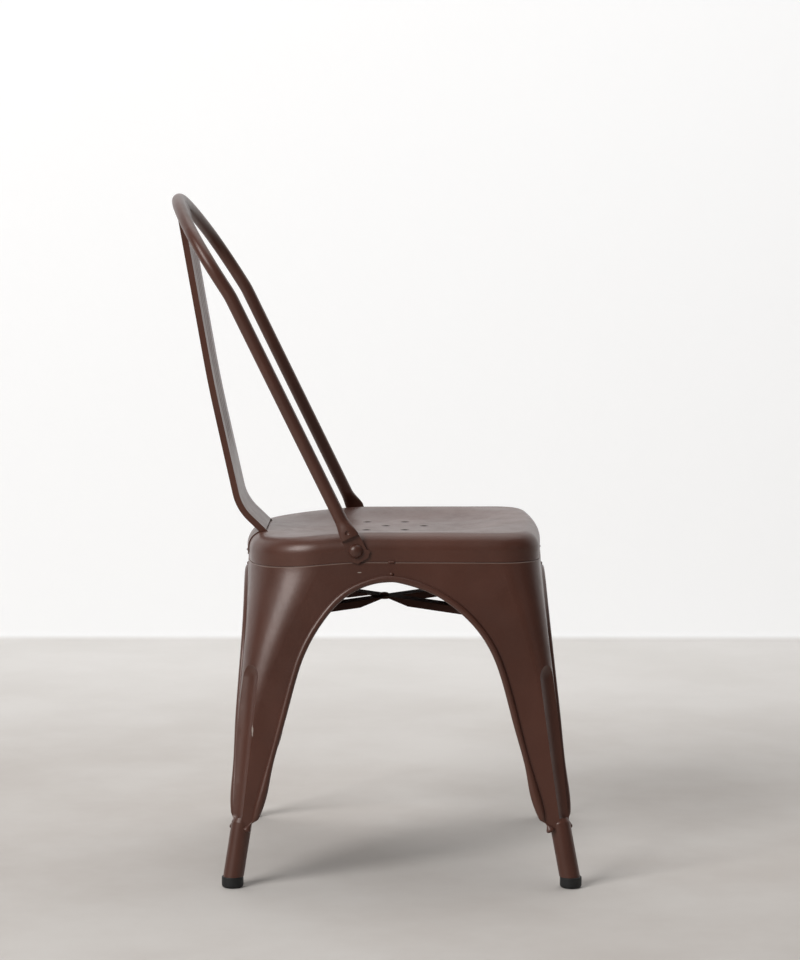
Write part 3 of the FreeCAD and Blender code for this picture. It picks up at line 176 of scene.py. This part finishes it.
# %% Colour, gloss and skin of the paint
BROWN = (0.068, 0.0220, 0.0130)
DARK_SHARE = 0.82
LIGHT_SHARE = 1.16
DRIFT_SHARE = 0.8
SPECK_SHARE = 0.2
TONE_FROM_TO = (0.3, 0.7)
SATIN = 0.36
SMUDGE_FROM_TO = (0.35, 0.75)
SMUDGE_ROUGH = 0.08
SPECK_ROUGH = 0.08
SKIN_HEIGHT = 0.00005
WAVE_HEIGHT = 0.0003


def paint_colour(place, speck, tone):
    """Brown that drifts between a darker and a lighter tone, with a little speck."""
    drift = noise(place, scale=7.0, detail=3.0, roughness=0.55)
    dark = [channel * DARK_SHARE * tone for channel in BROWN]
    light = [channel * LIGHT_SHARE * tone for channel in BROWN]
    return (drift * DRIFT_SHARE + speck * SPECK_SHARE).step(*TONE_FROM_TO).mix(dark, light)


def paint_gloss(place, speck, plain):
    """The plain roughness, and a little more in smudges and specks."""
    smudge = noise(place, scale=34.0, detail=4.0, roughness=0.65)
    return plain + SMUDGE_ROUGH * smudge.step(*SMUDGE_FROM_TO) + SPECK_ROUGH * speck


def paint_skin(place, peel):
    """The height of the orange-peel skin and of the slow waves under it, in metres."""
    skin = noise(place, scale=430.0, detail=2.0, roughness=0.55)
    waves = noise(place, scale=24.0, detail=1.0, roughness=0.4)
    return skin * (SKIN_HEIGHT * peel) + waves * (WAVE_HEIGHT * peel)


print("paint from", [round(channel * DARK_SHARE, 3) for channel in BROWN])
print("to", [round(channel * LIGHT_SHARE, 3) for channel in BROWN])

# %% [markdown]
# ## Nicks on the legs
#
# Chairs that are stacked rub each other's legs, which leaves small dark nicks in the paint,
# and only in some patches. They could be painted by hand. Here a fine noise with a high
# threshold makes the nicks, and a slow one decides in which patches they may show.
#
# This and the next three are marks: each takes the paint's colour, roughness and height, and
# gives them back changed, so a piece can have any of them one after the other.

# %% Nicks
NICK_COLOUR = (0.032, 0.022, 0.018)
NICK_ROUGH = 0.25
NICK_FROM_TO = (0.735, 0.75)
PATCH_FROM_TO = (0.6, 0.64)


def nicks(place, colour, rough, height):
    """Small dark nicks in a few patches."""
    fine = noise(place, scale=95.0, detail=5.0, roughness=0.7)
    patch = noise(place, scale=11.0, detail=1.0, roughness=0.5)
    nick = fine.step(*NICK_FROM_TO) * patch.step(*PATCH_FROM_TO)
    return nick.mix(colour, NICK_COLOUR), rough + nick * NICK_ROUGH, height


print("nicks of", NICK_COLOUR)

# %% [markdown]
# ## Two chips
#
# In two places the paint is knocked off down to pale metal: an upright chip on a rear leg and
# a short flat one just below the seat. A texture would need a picture of each. Here a chip is
# the inside of a stretched ball round its centre, and noise added to the distance makes its
# rim ragged, as broken paint is.

# %% Chips
# The centre of each chip, and how far it reaches from there in x, y and z, in metres.
CHIPS = (
    ((-0.1875, 0.1481, 0.192), (0.02, 0.0013, 0.0085)),
    ((-0.171, 0.0166, 0.3853), (0.02, 0.0030, 0.0006)),
)
CHIP_COLOUR = (0.40, 0.35, 0.31)
CHIP_COVER = 0.8
CHIP_ROUGH = 0.2
RIM_FROM_TO = (1.2, 1.45)
ORIGIN = (0.0, 0.0, 0.0)


def chips(place, colour, rough, height):
    """Pale metal where the paint is knocked off, with a ragged rim."""
    offsets = [place.vector("SUBTRACT", centre).vector("DIVIDE", reach) for centre, reach in CHIPS]
    far = smallest(offset.vector("DISTANCE", ORIGIN, "Value") for offset in offsets)
    ragged = noise(place, scale=300.0, detail=2.0, roughness=0.6)
    bare = 1.0 - (far + ragged).step(*RIM_FROM_TO)
    return (bare * CHIP_COVER).mix(colour, CHIP_COLOUR), rough + bare * CHIP_ROUGH, height


print(len(CHIPS), "chips")

# %% [markdown]
# ## A painted highlight on the edge under the seat
#
# The legs' top edge runs round the chair just under the seat's skirt. In the photograph it is
# a thin pale line, where the rounded edge catches the light. A bevel can't be added, because
# the imported solids stay as they are. Here the height above the floor picks out the edge, a
# paler colour paints the highlight onto it, and a bump bends the light as a round corner would.

# %% Painted highlight on the legs' top edge
# All in metres: the edge's height at the front, its drop towards the rear, the two places
# along Y between which it drops, how far the mark starts above it, and its rounding.
EDGE_LEVEL = 0.3978
EDGE_DROP = 0.009
EDGE_DROPS_BETWEEN = (0.0047, 0.1447)
EDGE_START = -0.0002
EDGE_ROUND = 0.0016
# The pale colour of the painted highlight, and how much of the edge it covers.
EDGE_HIGHLIGHT_COLOUR = (0.24, 0.16, 0.13)
EDGE_HIGHLIGHT_COVER = 0.75


def painted_edge_highlight(place, colour, rough, height):
    """A painted highlight along the legs' top edge: a pale line, with a bump that rounds it."""
    level = EDGE_LEVEL - along(place, "Y").step(*EDGE_DROPS_BETWEEN) * EDGE_DROP
    below = level - along(place, "Z")
    edge = 1.0 - below.step(EDGE_START, EDGE_ROUND)
    height = height - edge * edge * (EDGE_ROUND / 2.0)
    # The paler colour is a painted highlight. The bump rounds the edge.
    return (edge * EDGE_HIGHLIGHT_COVER).mix(colour, EDGE_HIGHLIGHT_COLOUR), rough, height


print("edge highlight from", EDGE_LEVEL, "down to", round(EDGE_LEVEL - EDGE_DROP, 4))

# %% [markdown]
# ## Funnels of the drain holes
#
# Seven drain holes are punched in the seat, and the sheet dips into a shallow funnel round
# each one. The holes are in the solids. The funnels are too shallow to need a shape of their
# own, so a bump sinks them, and a near-black colour paints shade onto them, as dark as the
# holes look in the photograph.

# %% Funnels
# In metres: the middle hole's place along Y, the step between holes in a row, how far the two
# side rows stand from the middle one, and where a funnel begins and ends from its hole's centre.
HOLE_MIDDLE = -0.0143
HOLE_STEP = 0.049
HOLE_ASIDE = 0.046
FUNNEL_FROM_TO = (0.0034, 0.0068)
FUNNEL_DEPTH = 0.0012
# Near black: painted shade round the holes.
FUNNEL_SHADE_COLOUR = (0.004, 0.003, 0.003)
FUNNEL_ROUGH = 0.5

# Each row's place along X, and the steps of its holes from the middle.
HOLE_ROWS = ((0.0, (-1.0, 0.0, 1.0)), (-HOLE_ASIDE, (-0.5, 0.5)), (HOLE_ASIDE, (-0.5, 0.5)))
HOLES = [(row, HOLE_MIDDLE + steps * HOLE_STEP) for row, row_steps in HOLE_ROWS for steps in row_steps]


def funnels(place, colour, rough, height):
    """Sunken rings round the seat's drain holes, darkened with painted shade."""
    x, y = along(place, "X"), along(place, "Y")
    offsets = [(x - hole_x, y - hole_y) for hole_x, hole_y in HOLES]
    far = smallest((across * across + back * back).maths("SQRT") for across, back in offsets)
    funnel = 1.0 - far.step(*FUNNEL_FROM_TO)
    height = height - funnel * FUNNEL_DEPTH
    return funnel.mix(colour, FUNNEL_SHADE_COLOUR), rough + funnel * FUNNEL_ROUGH, height


print(len(HOLES), "funnels")

# %% [markdown]
# ## Paint on each group of pieces
#
# One recipe paints everything, and each group of pieces changes only a few of its values. A
# thin clear coat gives the faint second highlight of baked paint. The paint lies thicker on
# rivets and welds, so their skin is coarser. The braces under the seat are dusty and never
# wiped, so they are rough, with no clear coat, and their colour is darkened by half as painted
# shade for the shade they sit in under the seat.

# %% Paint
PAINT_IOR = 1.5
DUSTY_IOR = 1.3
DUSTY_ROUGH = 0.71
SHEEN_TINT = (1.0, 0.86, 0.80, 1.0)
CLEAR_COAT = 0.22
CLEAR_COAT_ROUGH = 0.24
SKIN_STRENGTH = 0.9


def paint(name, tone=1.0, peel=1.0, marks=(), plain_rough=SATIN, ior=PAINT_IOR, coat=CLEAR_COAT):
    """A material of brown paint, with its marks laid over it in their order."""
    material, shader, place = new_material(name)
    speck = noise(place, scale=420.0, detail=2.0, roughness=0.6)
    colour = paint_colour(place, speck, tone)
    rough = paint_gloss(place, speck, plain_rough)
    height = paint_skin(place, peel)
    for mark in marks:
        colour, rough, height = mark(place, colour, rough, height)
    plug(shader, {"Base Color": colour, "Roughness": rough, "Normal": bump(height, SKIN_STRENGTH)})
    plug(shader, {"Metallic": 0.0, "IOR": ior, "Specular Tint": SHEEN_TINT})
    plug(shader, {"Coat Weight": coat, "Coat Roughness": CLEAR_COAT_ROUGH, "Coat IOR": PAINT_IOR})
    print(name, "has", len(material.node_tree.nodes), "nodes")
    return material


seat_paint = paint("seat_paint", tone=1.04, marks=[funnels])
leg_paint = paint("leg_paint", marks=[nicks, chips, painted_edge_highlight])
back_paint = paint("back_paint")
# The braces' tone of 0.5 is painted shade: they sit in shade under the seat.
brace_paint = paint(
    "brace_paint", tone=0.5, peel=1.3, plain_rough=DUSTY_ROUGH, ior=DUSTY_IOR, coat=0.0)
rivet_paint = paint("rivet_paint", tone=0.97, peel=1.6)
weld_paint = paint("weld_paint", tone=1.05, peel=3.0)

# %% [markdown]
# ## Black rubber
#
# The feet are moulded rubber: near black, matt, finely grained, and grey where dust from the
# floor sticks. It is the same method as for the paint with two noises only, because the feet
# are small in the picture.

# %% Rubber
CLEAN_RUBBER = (0.004, 0.004, 0.004)
DUSTY_RUBBER = (0.014, 0.013, 0.012)
DUST_FROM_TO = (0.45, 0.8)
RUBBER_ROUGH = 0.5
GRAIN_ROUGH = 0.1
DUST_ROUGH = 0.12
GRAIN_HEIGHT = 0.00006
GRAIN_STRENGTH = 0.6

foot_rubber, shader, place = new_material("foot_rubber")
grain = noise(place, scale=900.0, detail=3.0, roughness=0.6)
dust = noise(place, scale=60.0, detail=4.0, roughness=0.7)
plug(shader, {
    "Base Color": dust.step(*DUST_FROM_TO).mix(CLEAN_RUBBER, DUSTY_RUBBER),
    "Roughness": grain * GRAIN_ROUGH + dust * DUST_ROUGH + RUBBER_ROUGH,
    "Normal": bump(grain * GRAIN_HEIGHT, GRAIN_STRENGTH),
})
print(foot_rubber.name, "has", len(foot_rubber.node_tree.nodes), "nodes")

# %% [markdown]
# ## Dressing the nodes
#
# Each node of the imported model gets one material. The nodes are named by what they are, so the
# start of a name is enough to choose its finish. The first start that fits is taken, which is
# why the braces' rivet and welds stand before the braces.

# %% Dress the nodes
finishes = {
    "seat_pan": seat_paint,
    "leg_front": leg_paint,
    "leg_rear": leg_paint,
    "leg_crown_welds": weld_paint,
    "skirt_tack_welds": weld_paint,
    "back_": back_paint,
    "splat_": weld_paint,
    "brace_rivet": rivet_paint,
    "brace_end_welds": weld_paint,
    "brace_": brace_paint,
    "hoop_": rivet_paint,
    "foot_": foot_rubber,
}
for name, node in nodes.items():
    finish = next(finish for start, finish in finishes.items() if name.startswith(start))
    node.data.materials.clear()
    node.data.materials.append(finish)
    print(name, "wears", finish.name)

# %% [markdown]
# ## Floor and wall
#
# The chair stands on a pale floor in front of a bright wall. Two planes that touch would show
# a hard line. So one plane is laid down, its far edge is pulled up into the wall, and the fold
# between them is rounded with a small bevel. The wall also gives the paint a pale sheen where
# it is seen at a shallow angle.

# %% The floor
# All in metres. The camera looks along +X, so the wall stands beyond the chair.
WALL_X = 1.82
WALL_HEIGHT = 6.0
FLOOR_LENGTH = 11.64
FLOOR_WIDTH = 16.0
FOLD_RADIUS = 0.02
FOLD_SEGMENTS = 8
TOUCH = 0.00001

bpy.ops.object.select_all(action="DESELECT")
bpy.ops.mesh.primitive_plane_add(size=1.0, location=(WALL_X - FLOOR_LENGTH / 2.0, 0.0, 0.0))
studio = bpy.context.object
studio.name = "studio_sweep"
studio.scale = (FLOOR_LENGTH, FLOOR_WIDTH, 1.0)
bpy.ops.object.transform_apply(location=True, rotation=True, scale=True)
print("floor of", FLOOR_LENGTH, "by", FLOOR_WIDTH, "m")


# %% The wall and the fold
def edit_edges(piece, wanted):
    """Goes into edit mode with only the edges selected whose two ends pass a test."""
    bpy.ops.object.mode_set(mode="EDIT")
    bpy.ops.mesh.select_mode(type="EDGE")
    bpy.ops.mesh.select_all(action="DESELECT")
    bpy.ops.object.mode_set(mode="OBJECT")
    for edge in piece.data.edges:
        edge.select = all(wanted(piece.data.vertices[end].co) for end in edge.vertices)
    bpy.ops.object.mode_set(mode="EDIT")


def at_wall(point):
    return abs(point.x - WALL_X) < TOUCH


edit_edges(studio, at_wall)
bpy.ops.mesh.extrude_region_move(TRANSFORM_OT_translate={"value": (0.0, 0.0, WALL_HEIGHT)})
bpy.ops.object.mode_set(mode="OBJECT")
edit_edges(studio, lambda point: at_wall(point) and abs(point.z) < TOUCH)
bpy.ops.mesh.bevel(offset=FOLD_RADIUS, segments=FOLD_SEGMENTS, affect="EDGES")
bpy.ops.object.mode_set(mode="OBJECT")
bpy.ops.object.shade_smooth()
print("studio with", len(studio.data.polygons), "faces")

# %% [markdown]
# ## Paper for the studio
#
# The floor in the photograph is faintly clouded and grows lighter away from the camera, and
# the wall is almost white. One material does both, so that nothing shows at the fold: the
# place along X lightens the floor, which is painted light, and the height turns floor into
# wall. The wall glows a little, because lights strong enough to whiten it would burn out the
# chair.

# %% Studio paper
NEAR_FLOOR = ((0.50, 0.462, 0.43), (0.57, 0.54, 0.51))
FAR_FLOOR = ((0.74, 0.715, 0.685), (0.79, 0.765, 0.74))
WALL_COLOUR = (0.55, 0.55, 0.55)
NO_GLOW = (0.0, 0.0, 0.0)
LOW_GLOW = (0.86, 0.855, 0.85)
HIGH_GLOW = (1.0, 1.0, 1.0)
GLOW_STRENGTH = 0.52
PAPER_ROUGH = 0.9
CLOUD_FROM_TO = (0.3, 0.7)

# In metres: where the floor turns from its near to its far colour along X, where the floor
# turns into the wall by height, and where the wall's glow turns from low to high.
FLOOR_FROM_TO = (0.2, 1.85)
WALL_FROM_TO = (0.001, 0.012)
GLOW_FROM_TO = (-0.3, 1.3)

studio_paper, shader, place = new_material("studio_paper")
level = along(place, "Z")
cloud = noise(place, scale=2.2, detail=5.0, roughness=0.62).step(*CLOUD_FROM_TO)
# Painted light: the floor's colour grows lighter along X, away from the camera.
floor = along(place, "X").step(*FLOOR_FROM_TO).mix(cloud.mix(*NEAR_FLOOR), cloud.mix(*FAR_FLOOR))
glow = level.step(*GLOW_FROM_TO).mix(LOW_GLOW, HIGH_GLOW)
wall = level.step(*WALL_FROM_TO)
plug(shader, {"Base Color": wall.mix(floor, WALL_COLOUR), "Emission Color": wall.mix(NO_GLOW, glow)})
plug(shader, {"Emission Strength": GLOW_STRENGTH, "Roughness": PAPER_ROUGH})
studio.data.materials.append(studio_paper)
print(studio_paper.name, "has", len(studio_paper.node_tree.nodes), "nodes")


# %% [markdown]
# ## Lights
#
# The photograph has soft light from one side: a long pale sheen runs down the rear edges, and
# the front is a little darker. One large square light stands on the camera's side, behind the
# chair's back. A weak one fills the front, and a wide one above lights the floor and the seat.
# A faint even glow from all round keeps the underside from going black.

# %% Three lights and a faint sky
SKY_COLOUR = (1.0, 1.0, 1.0, 1.0)
SKY_STRENGTH = 0.10
CHAIR_MIDDLE = (0.0, 0.0, 0.4)


def area_light(name, at, aim, size, power):
    """A square light at a place, turned to shine on another one. Its power is in watts."""
    data = bpy.data.lights.new(name, "AREA")
    data.size = size
    data.energy = power
    light = bpy.data.objects.new(name, data)
    bpy.context.scene.collection.objects.link(light)
    light.location = at
    light.rotation_euler = (Vector(aim) - Vector(at)).to_track_quat("-Z", "Y").to_euler()
    print(name, "light of", power, "W")


area_light("key", at=(-3.2, 3.1, 3.0), aim=CHAIR_MIDDLE, size=2.5, power=205.0)
area_light("fill", at=(-2.6, -2.2, 1.4), aim=CHAIR_MIDDLE, size=1.6, power=2.0)
area_light("top", at=(0.6, -0.3, 3.4), aim=(0.3, 0.0, 0.0), size=3.0, power=46.0)

sky = bpy.data.worlds.new("studio")
bpy.context.scene.world = sky
sky.use_nodes = True
plug(sky.node_tree.nodes["Background"], {"Color": SKY_COLOUR, "Strength": SKY_STRENGTH})
bpy.context.scene.view_settings.view_transform = "Standard"

# %% [markdown]
# ## Camera
#
# The camera stands where the photograph was taken, square to the chair's side and a little
# above the seat. Its place, tilt and lens were found by matching the feet, the seat and the
# back's tube in the picture. The middle of the feet is read from the model, so the chair stays
# in its place in the picture if its shape changes.

# %% Camera
# Lengths are in metres and angles in radians, apart from the two named px and the one named mm.
PHOTO_HEIGHT_PX = 960.0
FOCAL_PX = 2930.7
SENSOR_MM = 36.0
CAMERA_DISTANCE = 3.75
CAMERA_HEIGHT = 0.8419
CAMERA_ASIDE = -0.0125
PITCH = math.radians(5.463)
YAW = 0.0041

camera_data = bpy.data.cameras.new("camera")
camera_data.sensor_fit = "VERTICAL"
camera_data.sensor_height = SENSOR_MM
camera_data.lens = FOCAL_PX * SENSOR_MM / PHOTO_HEIGHT_PX
camera = bpy.data.objects.new("camera", camera_data)
bpy.context.scene.collection.objects.link(camera)
feet_middle = (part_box("foot_front_left")[0].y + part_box("foot_rear_left")[1].y) / 2.0
camera.location = (-CAMERA_DISTANCE, CAMERA_ASIDE + feet_middle, CAMERA_HEIGHT)
look = Vector((math.cos(PITCH) * math.cos(YAW), math.cos(PITCH) * math.sin(YAW), -math.sin(PITCH)))
camera.rotation_euler = look.to_track_quat("-Z", "Y").to_euler()
bpy.context.scene.camera = camera
print("camera with a lens of", round(camera_data.lens, 1), "mm")


# %% [markdown]
# ## Finish
#
# The paint adds no shape, so the dressed chair has to fill the same box as the imported model.


print("the chair is dressed")
